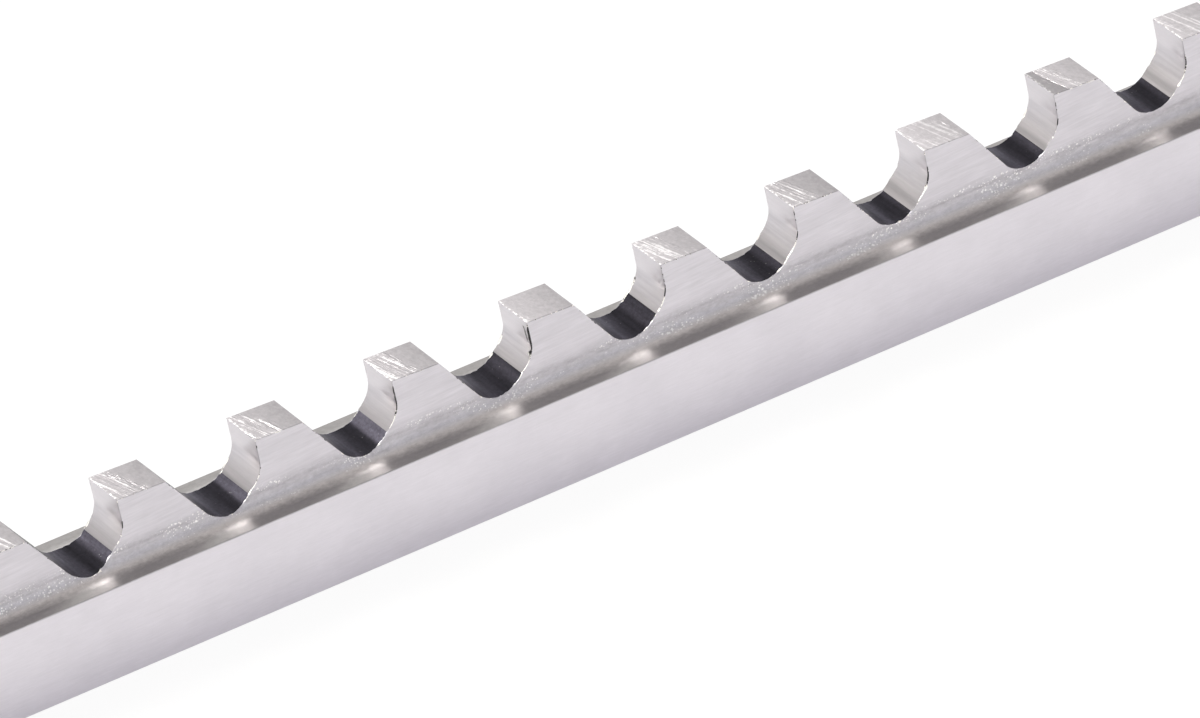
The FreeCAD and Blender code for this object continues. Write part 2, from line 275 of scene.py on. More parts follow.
def mark_ground(run, level):
    """Give the run the bright rake finish down to a level, and the dark gullet finish below it."""
    result = []
    for stretch in run:
        if (stretch.start.y - level) * (stretch.end.y - level) < 0:
            part = (level - stretch.start.y) / (stretch.end.y - stretch.start.y)
            result += stretch.split(part)
        else:
            result.append(stretch)
    for stretch in result:
        middle = (stretch.start + stretch.end) / 2
        stretch.finish = RAKE if middle.y > level else GULLET
    return result


def worn(run, ridge, normal):
    """Turn the normals beside a ridge towards its own normal, as if the ridge were worn round."""
    for stretch in run:
        for point, name in ((stretch.start, "start_normal"), (stretch.end, "end_normal")):
            near = max(0.0, 1 - (point - Vector(ridge)).length / RIDGE_WEAR)
            share = near * near * (3 - 2 * near)
            setattr(stretch, name, getattr(stretch, name).lerp(normal, share).normalized())
    return run


def chip_space(tooth):
    """Return the outline from the end of the land before a tooth to that tooth's cutting edge."""
    edge = cutting_edge(tooth)
    flat_end = (
        edge[0] + RAKE_FLAT * math.sin(HOOK_ANGLE),
        edge[1] - RAKE_FLAT * math.cos(HOOK_ANGLE),
    )
    hollow = (
        flat_end[0] - RAKE_RADIUS * math.cos(HOOK_ANGLE),
        flat_end[1] - RAKE_RADIUS * math.sin(HOOK_ANGLE),
    )
    floor = (edge[0] - GULLET_OFFSET, edge[1] - GULLET_DEPTH + GULLET_RADIUS)
    ridge = circle_crossing(hollow, RAKE_RADIUS, floor, GULLET_RADIUS)
    before = land_end(tooth - 1)
    foot = tangent_point(before, floor, GULLET_RADIUS)
    if tooth == 1:
        # The top of the pilot cuts off the back of the first chip space.
        pilot_top = BODY_HEIGHT + PILOT_HEIGHT
        part = (before[1] - pilot_top) / (before[1] - foot[1])
        before = (before[0] + (foot[0] - before[0]) * part, pilot_top)
    back = straight(before, foot, GULLET)
    front = hollow_arc(
        floor, GULLET_RADIUS, angle_from(floor, foot), angle_from(floor, ridge), GULLET)
    lowest = min(range(len(front)), key=lambda index: front[index].end.y)
    front, back = front[lowest:], back + front[:lowest]
    front += hollow_arc(
        hollow, RAKE_RADIUS, angle_from(hollow, ridge), angle_from(hollow, flat_end), RAKE)
    front += straight(flat_end, edge, RAKE)
    ridge_normal = (Vector(hollow) - Vector(ridge)).normalized()
    ridge_normal += (Vector(floor) - Vector(ridge)).normalized()
    front = worn(front, ridge, ridge_normal.normalized())
    return back + mark_ground(front, edge[1] - grind_reach(tooth))


def side_outline():
    """Return the whole top outline, seen from the side, from the front end to the rear end."""
    pilot_top = BODY_HEIGHT + PILOT_HEIGHT
    run = straight(
        (-HALF_LENGTH, pilot_top - END_CHAMFER), (-HALF_LENGTH + END_CHAMFER, pilot_top), END)
    first = chip_space(1)
    run += straight(run[-1].end, first[0].start, LAND, PLAIN_STEP)
    run += first
    for tooth in TEETH:
        run += straight(cutting_edge(tooth), land_end(tooth), LAND)
        if tooth < TOOTH_COUNT:
            run += chip_space(tooth + 1)
    guide_top = land_end(TOOTH_COUNT)[1]
    run += straight(run[-1].end, (HALF_LENGTH - END_CHAMFER, guide_top), LAND, PLAIN_STEP)
    run += straight(run[-1].end, (HALF_LENGTH, guide_top - END_CHAMFER), END)
    for before, after in zip(run, run[1:]):
        after.start = before.end
    return run


def half_width(height):
    """Return how far the rib and its root reach from the middle at a height above the back."""
    above = height - BODY_HEIGHT
    if above >= ROOT_RADIUS:
        return HALF_RIB
    drop = ROOT_RADIUS - max(above, 0.0)
    return HALF_RIB + ROOT_RADIUS - math.sqrt(max(ROOT_RADIUS ** 2 - drop ** 2, 0.0))


def side_normal(height, side):
    """Return the outward normal of the rib or of its root at a height above the back."""
    above = height - BODY_HEIGHT
    if above >= ROOT_RADIUS:
        return Vector((0, side, 0))
    lean = (ROOT_RADIUS - max(above, 0.0)) / ROOT_RADIUS
    return Vector((0, side * math.sqrt(max(1 - lean ** 2, 0.0)), lean))


def edge_break(point):
    """Return the width of the broken edge at a point, narrower and ragged low in a chip space."""
    pitches = (point.x - cutting_edge(1)[0]) / TOOTH_PITCH
    depth = cutting_edge(1)[1] + pitches * TOOTH_RISE - point.y
    among_teeth = -1 < pitches < TOOTH_COUNT
    low = min(max((depth - NARROWING_DEPTH) / NARROWING_RUN, 0.0), 1.0) if among_teeth else 0.0
    ragged = max(0.0, noise.noise(Vector((point.x * 4.5, 4.1, point.y * 4.5))))
    return EDGE_BREAK + (GULLET_EDGE_BREAK + GULLET_RAGGED * ragged - EDGE_BREAK) * low


def inset_points(outline):
    """Return the outline's points moved into the steel by the width of the edge break."""
    first, last = outline[0].start, outline[-1].end
    moved = [first - Vector((0, edge_break(first)))]
    for before, after in zip(outline, outline[1:]):
        mitre = (before.end_normal + after.start_normal).normalized()
        sharpness = max(mitre.dot(after.start_normal), SHARPEST_MITRE)
        moved.append(after.start - mitre * edge_break(after.start) / sharpness)
    moved.append(last - Vector((0, edge_break(last))))
    return moved


def root_heights():
    """Return the heights of the lines that divide the root radius, from the ledge up."""
    angles = [math.pi / 2 * index / ROOT_STEPS for index in range(ROOT_STEPS + 1)]
    return [BODY_HEIGHT + ROOT_RADIUS * (1 - math.cos(angle)) for angle in angles]


def split_at_heights(outline, heights):
    """Split the outline and its inset wherever the inset crosses one of the heights."""
    inset = inset_points(outline)
    result = []
    moved = [inset[0]]
    for stretch, low, high in zip(outline, inset, inset[1:]):
        crossings = []
        for height in heights:
            if (low.y - height) * (high.y - height) < 0:
                crossings.append(((height - low.y) / (high.y - low.y), height))
        done = 0.0
        for part, height in sorted(crossings):
            first, stretch = stretch.split((part - done) / (1 - done))
            result.append(first)
            moved.append(Vector((low.x + (high.x - low.x) * part, height)))
            done = part
        result.append(stretch)
        moved.append(high)
    return result, moved


class MeshBuilder:
    """Collects faces with their corner normals and finishes, and shares equal vertices."""

    def __init__(self):
        self.points = []
        self.index = {}
        self.faces = []
        self.normals = []
        self.finishes = []

    def vertex(self, point):
        """Return the number of the vertex at a point, and make it if there is none."""
        key = tuple(round(value, VERTEX_DIGITS) for value in point)
        if key not in self.index:
            self.index[key] = len(self.points)
            self.points.append(Vector(point) * MM)
        return self.index[key]

    def face(self, corners, finish, normals=None, facing=None):
        """Add a face, turned to match its corner normals, or one outward direction if flat."""
        ids, kept = [], []
        for place, corner in enumerate(corners):
            vertex = self.vertex(corner)
            if vertex not in ids:
                ids.append(vertex)
                kept.append(place)
        if len(ids) < 3:
            return
        flat = Vector()
        first = Vector(corners[kept[0]])
        for a, b in zip(kept[1:], kept[2:]):
            flat += (Vector(corners[a]) - first).cross(Vector(corners[b]) - first)
        if flat.length < SLIVER:
            return
        flat.normalize()
        given = [Vector(normals[place]) for place in kept] if normals else None
        outward = facing if facing else sum(given, Vector())
        if flat.dot(outward) < 0:
            ids.reverse()
            flat.negate()
            if given:
                given.reverse()
        self.faces.append(ids)
        self.normals.append(given if given else [flat] * len(ids))
        self.finishes.append(finish)

    def build(self, name, materials):
        """Make the mesh with its materials and put it in the scene."""
        mesh = bpy.data.meshes.new(name)
        mesh.from_pydata(self.points, [], self.faces)
        for material in materials:
            mesh.materials.append(material)
        mesh.polygons.foreach_set("material_index", self.finishes)
        mesh.polygons.foreach_set("use_smooth", [True] * len(self.faces))
        mesh.update()
        mesh.normals_split_custom_set([tuple(n) for face in self.normals for n in face])
        piece = bpy.data.objects.new(name, mesh)
        bpy.context.collection.objects.link(piece)
        return piece


def edge_points(point, inset, side, lip):
    """Return the points of the broken edge at one place: on top, on its corner and on the side."""
    half = half_width(point.y)
    width = edge_break(point)
    on_top = Vector((point.x, side * (half - width - lip), point.y))
    # A rounded edge is halfway round at this share of its width.
    part = 1 - math.sqrt(0.5)
    if lip:
        part += BURR_WANDER * noise.noise(Vector((point.x * 5, side * 3.1, point.y * 5)))
        part -= LIP_OVERHANG * lip / width
    corner = point.lerp(inset, part)
    on_corner = Vector((corner.x, side * (half - width * part), corner.y))
    on_side = Vector((inset.x, side * half_width(inset.y), inset.y))
    return on_top, on_corner, on_side


def add_top(builder, outline, inset):
    """Add the lands, rake faces and gullets, and the broken edges beside them."""
    for stretch, low, high in zip(outline, inset, inset[1:]):
        ends = ((stretch.start, stretch.start_normal, low), (stretch.end, stretch.end_normal, high))
        in_front = stretch.start_normal.x < 0 and stretch.finish in (RAKE, GULLET)
        middle = (stretch.start + stretch.end) / 2
        wear = noise.noise(Vector((middle.x, 7.3, middle.y)) * 6)
        chipped = stretch.finish != END and wear > CHIP_LEVEL
        rows = []
        lips = {-1: 0.0, 1: 0.0}
        for point, normal, inner in ends:
            up = Vector((normal.x, 0, normal.y))
            row = {}
            for side in (-1, 1):
                out = side_normal(inner.y, side)
                lip = lip_width(point, side) if in_front else 0.0
                lips[side] += lip
                normals = (up, (up + out).normalized(), out)
                row[side] = (edge_points(point, inner, side, lip), normals)
            rows.append(row)
        corners = [rows[end][side] for end, side in ((0, -1), (1, -1), (1, 1), (0, 1))]
        builder.face(
            [points[0] for points, _ in corners], stretch.finish,
            [normals[0] for _, normals in corners])
        for side in (-1, 1):
            (near, near_normals), (far, far_normals) = rows[0][side], rows[1][side]
            top_finish = SIDE if stretch.finish == GULLET else stretch.finish
            for band, plain in ((0, top_finish), (1, SIDE)):
                builder.face(
                    [near[band], far[band], far[band + 1], near[band + 1]],
                    EDGE if lips[side] > THINNEST_LIP or (chipped and side < 0) else plain,
                    [near_normals[band], far_normals[band], far_normals[band + 1],
                     near_normals[band + 1]])


def filled(loop, inner=(), lines=()):
    """Return the triangles that fill a loop given anticlockwise, split along lines between points."""
    points, _, found, _, _, sources = delaunay_2d_cdt(
        [*loop, *inner], lines, [list(range(len(loop)))], 1, FILL_TOLERANCE)
    return [[points[index] for index in each] for each, source in zip(found, sources) if source]


def add_rib_sides(builder, inset, heights):
    """Add both sides of the rib and both root radii, up to the inset outline."""
    shoulder = HALF_LENGTH - END_CHAMFER
    ledge = BODY_HEIGHT
    loop = [Vector((-HALF_LENGTH, height)) for height in reversed(heights[1:])]
    loop += [Vector((x, ledge)) for x in (-HALF_LENGTH, -shoulder, shoulder, HALF_LENGTH)]
    loop += [Vector((HALF_LENGTH, height)) for height in heights[1:]]
    loop += reversed(inset)
    inner, lines = [], []
    for height in heights[1:]:
        first = len(loop) + len(inner)
        lines.append((first, first + 1))
        inner += [Vector((-HALF_LENGTH, height)), Vector((HALF_LENGTH, height))]
    triangles = filled(loop, inner, lines)
    for side in (-1, 1):
        for places in triangles:
            builder.face(
                [(p.x, side * half_width(p.y), p.y) for p in places], SIDE,
                [side_normal(p.y, side) for p in places])


def body_rails(side):
    """Return the lines along the body, from the root to the middle of the back, with normals."""
    rails = [(HALF_RIB + ROOT_RADIUS, BODY_HEIGHT, (0, 0, 1))]
    for height, up in ((BODY_HEIGHT, 1), (0.0, -1)):
        turns = [math.pi / 2 * index / EDGE_STEPS for index in range(EDGE_STEPS + 1)]
        if up < 0:
            turns.reverse()
        for turn in turns:
            rails.append((
                HALF_BODY - BODY_EDGE_BREAK * (1 - math.sin(turn)),
                height - up * BODY_EDGE_BREAK * (1 - math.cos(turn)),
                (0, math.sin(turn), up * math.cos(turn)),
            ))
    rails.append((0.0, 0.0, (0, 0, -1)))
    return [(side * y, z, Vector((0, side * normal[1], normal[2]))) for y, z, normal in rails]


def at_end(rail, side):
    """Return where a body line meets the end face, inside the bevels there."""
    y, z, _ = rail
    inner = HALF_BODY - END_CHAMFER
    return side * min(abs(y), inner), max(z, END_CHAMFER)


def add_body(builder):
    """Add the ledges, the body's sides and its back, and the bevels round both ends."""
    shoulder = HALF_LENGTH - END_CHAMFER
    for side in (-1, 1):
        rails = body_rails(side)
        for one, following in zip(rails, rails[1:]):
            builder.face(
                [(x, rail[0], rail[1]) for x, rail in (
                    (-shoulder, one), (shoulder, one), (shoulder, following), (-shoulder, following))],
                SIDE, [one[2], one[2], following[2], following[2]])
            for end in (-1, 1):
                outer = [(end * HALF_LENGTH, *at_end(rail, side)) for rail in (one, following)]
                builder.face(
                    [(end * shoulder, one[0], one[1]), (end * shoulder, following[0], following[1]),
                     outer[1], outer[0]],
                    END, facing=one[2] + following[2] + Vector((end, 0, 0)))


def add_ends(builder, inset, outline, heights):
    """Close both end faces."""
    for end, point, inner in ((-1, outline[0].start, inset[0]), (1, outline[-1].end, inset[-1])):
        loops = {}
        for side in (-1, 1):
            rails = [at_end(rail, side) for rail in reversed(body_rails(side))]
            roots = [(side * half_width(height), height) for height in heights]
            on_top, on_corner, on_side = edge_points(point, inner, side, 0.0)
            edge = [(place.y, place.z) for place in (on_side, on_corner, on_top)]
            loops[side] = rails + roots + edge
        loop = []
        for place in loops[1] + loops[-1][::-1]:
            place = Vector(place)
            if not loop or (place - loop[-1]).length > NEGLIGIBLE:
                loop.append(place)
        if (loop[0] - loop[-1]).length < NEGLIGIBLE:
            loop.pop()
        for places in filled(loop):
            builder.face(
                [(end * HALF_LENGTH, *place) for place in places], END, facing=Vector((end, 0, 0)))


def broach_mesh(materials):
    """Make the whole broach as one closed mesh."""
    heights = root_heights()
    outline, inset = split_at_heights(side_outline(), heights)
    builder = MeshBuilder()
    add_top(builder, outline, inset)
    add_rib_sides(builder, inset, heights)
    add_body(builder)
    add_ends(builder, inset, outline, heights)
    return builder.build("broach", materials)


class Graph:
    """A material's nodes: adds one at a time and joins it to what is given for its inputs."""

    def __init__(self, name):
        self.material = bpy.data.materials.new(name)
        self.material.use_nodes = True
        self.nodes = self.material.node_tree.nodes
        self.links = self.material.node_tree.links
        self.shader = self.nodes["Principled BSDF"]

    def put(self, socket, value):
        """Join an output to a socket, or set the socket to a value, or leave it as it is."""
        if isinstance(value, bpy.types.NodeSocket):
            self.links.new(value, socket)
        elif value is not None:
            socket.default_value = value

    def add(self, kind, *values, **settings):
        """Add a node, fill its inputs in order and return its first output."""
        node = self.nodes.new("ShaderNode" + kind)
        for name, setting in settings.items():
            setattr(node, name, setting)
        for socket, value in zip(node.inputs, values):
            self.put(socket, value)
        return node.outputs[0]

    def math(self, operation, first, second=0.0):
        """Return the result of one sum on two values."""
        return self.add("Math", first, second, operation=operation)

    def millimetres(self):
        """Return the place on the object, in millimetres."""
        place = self.nodes.new("ShaderNodeTexCoord").outputs["Object"]
        return self.scaled(place, 1 / MM)

    def scaled(self, vector, factor):
        """Return a place or colour times a factor."""
        node = self.nodes.new("ShaderNodeVectorMath")
        node.operation = "SCALE"
        self.put(node.inputs[0], vector)
        self.put(node.inputs["Scale"], factor)
        return node.outputs[0]

    def part(self, vector, axis):
        """Return one of the three values of a place."""
        node = self.nodes.new("ShaderNodeSeparateXYZ")
        self.put(node.inputs[0], vector)
        return node.outputs[axis]

    def along(self, vector, direction):
        """Return how far a place lies along a direction."""
        node = self.nodes.new("ShaderNodeVectorMath")
        node.operation = "DOT_PRODUCT"
        self.put(node.inputs[0], vector)
        node.inputs[1].default_value = direction
        return node.outputs["Value"]

    def drawn_out(self, place, direction, lengthwise, across):
        """Return places for a texture with so many features to a millimetre along and across."""
        reach = self.math("MULTIPLY", self.along(place, direction), lengthwise - across)
        pull = self.scaled(Vector(direction), reach)
        return self.add("VectorMath", self.scaled(place, across), pull)

    def cloud(self, place, scale=1.0, detail=2.0, roughness=0.6):
        """Return a soft random pattern between 0 and 1."""
        return self.add("TexNoise", place, None, scale, detail, roughness)

    def span(self, value, low, high, out_low=0.0, out_high=1.0, smooth=False):
        """Return a value carried from one range over to another, and held at its ends."""
        kind = "SMOOTHSTEP" if smooth else "LINEAR"
        return self.add("MapRange", value, low, high, out_low, out_high, interpolation_type=kind)

    def blend(self, share, first, second):
        """Return the mix of two colours, with this share of the second."""
        node = self.nodes.new("ShaderNodeMix")
        node.data_type = "RGBA"
        # A mix node keeps its colours in inputs 6 and 7 and in output 2.
        self.put(node.inputs[0], share)
        for socket, value in ((node.inputs[6], first), (node.inputs[7], second)):
            self.put(socket, value if isinstance(value, bpy.types.NodeSocket) else (*value, 1))
        return node.outputs[2]

    def product(self, *values):
        """Return some values multiplied together."""
        total = values[0]
        for value in values[1:]:
            total = self.math("MULTIPLY", total, value)
        return total

    def dots(self, place, across, radius):
        """Return 1 inside small round dots strewn so many to a millimetre, and 0 between them."""
        node = self.nodes.new("ShaderNodeTexVoronoi")
        self.put(node.inputs["Vector"], self.scaled(place, across))
        self.put(node.inputs["Scale"], 1.0)
        reach = self.math("SUBTRACT", self.product(radius, across), node.outputs["Distance"])
        return self.span(reach, -0.05, 0.08)

    def ramp(self, value, low, high, stops):
        """Return a shade that follows a curve through some stops, each a value and its shade."""
        node = self.nodes.new("ShaderNodeValToRGB")
        elements = node.color_ramp.elements
        elements.remove(elements[-1])
        for index, (stop, shade) in enumerate(stops):
            place = (stop - low) / (high - low)
            element = elements.new(place) if index else elements[0]
            element.position = place
            element.color = (shade, shade, shade, 1)
        self.put(node.inputs[0], self.span(value, low, high))
        return node.outputs[0]

    def pitches(self, place):
        """Return how many tooth pitches a place lies behind the first cutting edge."""
        ahead = self.math("SUBTRACT", self.part(place, 0), cutting_edge(1)[0])
        return self.math("DIVIDE", ahead, TOOTH_PITCH)

    def behind(self, place):
        """Return how far a place lies behind the cutting edge before it."""
        return self.math("MULTIPLY", self.math("FRACT", self.pitches(place)), TOOTH_PITCH)

    def depth(self, place):
        """Return how far a place lies below the line through the cutting edges."""
        risen = self.math("MULTIPLY", self.pitches(place), TOOTH_RISE)
        line = self.math("ADD", risen, cutting_edge(1)[1])
        return self.math("SUBTRACT", line, self.part(place, 2))

    def by_tooth(self, values, place):
        """Return one value for each tooth, taken from a list of values between 0 and 1."""
        step = self.math("ADD", self.math("FLOOR", self.pitches(place)), 0.5)
        node = self.nodes.new("ShaderNodeValToRGB")
        node.color_ramp.interpolation = "CONSTANT"
        elements = node.color_ramp.elements
        elements.remove(elements[-1])
        for index, value in enumerate(values):
            element = elements.new(index / len(values)) if index else elements[0]
            element.position = index / len(values)
            element.color = (value, value, value, 1)
        self.put(node.inputs[0], self.math("DIVIDE", step, len(values)))
        return node.outputs[0]

    def relief(self, height, depth):
        """Bump the surface by a height from 0 to 1 that stands for a depth in millimetres."""
        node = self.nodes.new("ShaderNodeBump")
        node.inputs["Distance"].default_value = depth * MM
        self.put(node.inputs["Height"], height)
        self.put(self.shader.inputs["Normal"], node.outputs[0])

    def metal(self, colour, roughness, grain, stretch):
        """Set up the shader as metal ground along a grain, and return the material."""
        self.put(self.shader.inputs["Base Color"], colour)
        self.put(self.shader.inputs["Roughness"], roughness)
        self.shader.inputs["Metallic"].default_value = 1.0
        self.shader.inputs["Anisotropic"].default_value = stretch
        self.shader.inputs["Anisotropic Rotation"].default_value = QUARTER_TURN
        self.put(self.shader.inputs["Tangent"], self.add("CombineXYZ", *grain))
        return self.material


# Colours of the metal: in the open, in the root, low on the rake faces, the painted glints of the
# root's specks, on the lands, in their honing strokes, in the gullets, in the gullets' specks, and
# the painted glints and painted shade of the burrs.
STEEL = (0.694, 0.673, 0.722)
WARM_STEEL = (0.70, 0.677, 0.663)
ROSY_STEEL = (0.70, 0.664, 0.686)
PAINTED_GLINT = (1.35, 1.34, 1.32)
DULL_LAND = (0.467, 0.446, 0.460)
HONED_STROKE = (0.835, 0.82, 0.83)
UNGROUND = (0.0165, 0.0155, 0.020)
UNGROUND_SPECK = (0.09, 0.088, 0.09)
PAINTED_BURR_GLINT = (0.95, 0.92, 0.88)
PAINTED_BURR_SHADE = (0.06, 0.058, 0.06)

# Directions of the grinding and honing marks. The last lies square to the honing strokes.
LENGTHWISE = (1.0, 0.0, 0.0)
LEANING = (0.9985, 0.0, 0.054)
CROSSWISE = (0.0, 1.0, 0.0)
HONED = (0.28, -0.96, 0.0)
ACROSS_HONED = (0.96, 0.28, 0.0)

QUARTER_TURN = 0.25
RAKE_ROUGHNESS = 0.29
STROKE_RANGE = 2

# Curves of painted shade, each as stops with their shades: up the sides from the ledge, down the
# rake faces from the line of the cutting edges, and round the gullets from one cutting edge to the
# next. The shades are a half, a half and a fifth of those used, because a ramp holds values up to 1.
FLANK_SHADES = (
    (-4.9, 0.56), (-4.0, 0.54), (-3.0, 0.50), (-2.0, 0.475), (-1.0, 0.452), (-0.08, 0.435),
    (-0.03, 0.30), (0.03, 0.38), (0.08, 0.48), (0.145, 0.555), (0.23, 0.50), (0.34, 0.437),
    (0.46, 0.405), (0.60, 0.345), (0.73, 0.41), (0.90, 0.455), (1.3, 0.45), (2.0, 0.415),
    (2.8, 0.393), (4.7, 0.393),
)
RAKE_SHADES = (
    (0.0, 0.475), (0.4, 0.485), (0.7, 0.49), (1.0, 0.50), (1.3, 0.49), (1.55, 0.44), (1.9, 0.445),
    (2.2, 0.405), (2.45, 0.31), (2.6, 0.28), (2.75, 0.22),
)
GULLET_SHADES = (
    (2.6, 0.30), (4.6, 0.36), (5.0, 0.8), (5.6, 0.8), (5.86, 0.62), (6.12, 0.34), (6.38, 0.19),
    (6.63, 0.14), (6.86, 0.22), (7.07, 0.25), (7.3, 0.29),
)


def tinted(colour, factor):
    """Return a colour times a factor."""
    return Vector([channel * factor for channel in colour])


def ground_sides():
    """The rib's sides, root radii, ledges and body: ground lengthwise, frosted along the root."""
    graph = Graph("ground_sides")
    place = graph.millimetres()
    height = graph.math("SUBTRACT", graph.part(place, 2), BODY_HEIGHT)
    fine = graph.cloud(graph.drawn_out(place, LENGTHWISE, 1.1, 11.0), 1.0, 3.0, 0.7)
    coarse = graph.cloud(graph.drawn_out(place, LEANING, 0.45, 6.5), 1.0, 3.0, 0.65)
    patches = graph.cloud(place, 0.7, 3.0, 0.6)
    # Grinding grain, stronger on the rib than below it.
    on_rib = graph.span(height, 0.0, 0.6)
    grain = graph.product(
        graph.math("SUBTRACT", coarse, 0.5), graph.span(on_rib, 0.0, 1.0, 0.08, 0.34))
    # Frosting in the root, and dents along its foot.
    root = graph.product(
        graph.span(height, 1.5, 0.55, smooth=True), graph.span(height, 0.06, 0.3, smooth=True))
    dusty = graph.cloud(graph.drawn_out(place, LENGTHWISE, 3.0, 6.0), 1.0, 4.0, 0.75)
    mottle = graph.product(graph.math("SUBTRACT", dusty, 0.5), root, 0.8)
    hammered = graph.cloud(graph.drawn_out(place, LENGTHWISE, 3.5, 5.0), 1.0, 3.0, 0.7)
    low_root = graph.product(graph.span(height, 0.2, 0.12), graph.span(height, -0.01, 0.01))
    dents = graph.product(graph.math("SUBTRACT", hammered, 0.5), low_root, 0.8)
    # Painted shade: the far root and the body's far side are darker.
    painted_far_root_shade = graph.product(graph.span(graph.part(place, 1), 0.5, 0.6), graph.span(height, 0.0, 0.2))
    painted_far_root_shade = graph.product(painted_far_root_shade, graph.span(height, 1.2, 0.8))
    painted_far_side_shade = graph.span(graph.part(place, 1), HALF_BODY - 0.1, HALF_BODY - 0.02, 1.0, 0.7)
    # Painted shade up the body, over the ledge, round the root and up the rib.
    painted_flank_shade = graph.ramp(height, -BODY_HEIGHT, BODY_HEIGHT, FLANK_SHADES)
    shade = graph.product(
        graph.span(fine, 0.25, 0.75, 1.92, 2.08),
        graph.math("ADD", grain, 1.0),
        graph.math("ADD", mottle, 1.0),
        graph.math("ADD", dents, 1.0),
        graph.span(painted_far_root_shade, 0.0, 1.0, 1.0, 0.7), painted_far_side_shade,
        graph.span(patches, 0.3, 0.7, 0.98, 1.02),
        painted_flank_shade)
    # Specks along the root, painted as bright glints and gathered in patches.
    gather = graph.cloud(graph.drawn_out(place, LENGTHWISE, 0.3, 1.4), 1.0, 2.0, 0.5)
    large = graph.dots(place, 4.2, graph.span(gather, 0.46, 0.66, 0.0, 0.066))
    small = graph.dots(place, 7.0, graph.span(gather, 0.39, 0.62, 0.0, 0.045))
    painted_root_glints = graph.math("MAXIMUM", large, graph.product(small, 0.55))
    painted_root_glints = graph.product(painted_root_glints, graph.span(root, 0.2, 0.6))
    in_root = graph.product(graph.span(height, 0.35, 0.12), graph.span(height, -0.03, 0.0))
    colour = graph.blend(painted_root_glints, graph.blend(in_root, STEEL, WARM_STEEL), PAINTED_GLINT)
    colour = graph.scaled(colour, shade)
    rough = graph.span(fine, 0.3, 0.7, 0.34, 0.42)
    heights = graph.math("ADD", fine, graph.product(root, dusty, 2.5))
    heights = graph.math("ADD", heights, graph.product(low_root, hammered, 4.0))
    graph.relief(heights, 0.003)
    return graph.metal(colour, rough, LENGTHWISE, 0.7)


def ground_lands():
    """The tops of the teeth: dull behind, with bright honing strokes slanting off the cutting edge."""
    graph = Graph("ground_lands")
    place = graph.millimetres()
    behind = graph.behind(place)
    inward = graph.math("SUBTRACT", graph.part(place, 1), HALF_RIB)
    across = graph.along(graph.add("CombineXYZ", behind, inward), ACROSS_HONED)
    wander = graph.cloud(graph.drawn_out(place, HONED, 0.5, 3.0), 1.0, 3.0, 0.6)
    across = graph.math("ADD", across, graph.span(wander, 0.3, 0.7, -0.35, 0.35))
    limits = [stroke_limits(tooth) for tooth in TEETH]
    packed = [[(value + STROKE_RANGE) / (2 * STROKE_RANGE) for value in row] for row in zip(*limits)]
    start, reach, force, level = (
        graph.span(graph.by_tooth(row, place), 0, 1, -STROKE_RANGE, STROKE_RANGE) for row in packed)
    behind_start = graph.span(graph.math("SUBTRACT", across, start), -0.1, 0.1)
    honed = graph.product(behind_start, graph.span(graph.math("SUBTRACT", across, reach), 0.1, -0.1))
    strokes = graph.cloud(graph.drawn_out(place, HONED, 0.2, 6.5), 1.0, 3.0, 0.6)
    broken = graph.cloud(graph.drawn_out(place, HONED, 3.5, 9.0), 1.0, 3.0, 0.7)
    lit = graph.math("ADD", graph.product(strokes, 0.74), graph.product(broken, 0.26))
    bright = graph.product(honed, graph.span(lit, 0.535, 0.585), force)
    flecks = graph.cloud(place, 6.0, 2.0, 0.7)
    turned = graph.product(graph.span(behind, 0.14, 0.05), graph.span(flecks, 0.48, 0.56))
    bright = graph.math("MAXIMUM", bright, turned)
    grit = graph.cloud(place, 3.5, 5.0, 0.8)
    shade = graph.product(
        graph.span(broken, 0.3, 0.7, 0.94, 1.06), graph.span(grit, 0.3, 0.7, 0.86, 1.14),
        graph.span(behind_start, 0.0, 1.0, 0.6, 1.0),
        graph.span(behind, 0.2, 2.5, 1.12, 0.87), level)
    colour = graph.blend(bright, DULL_LAND, HONED_STROKE)
    colour = graph.scaled(colour, shade)
    rough = graph.span(bright, 0.0, 1.0, 0.36, 0.45)
    heights = graph.math("ADD", graph.product(honed, lit, force, 4.4), graph.product(grit, 0.4))
    graph.relief(heights, 0.02)
    return graph.metal(colour, rough, HONED, 0.75)


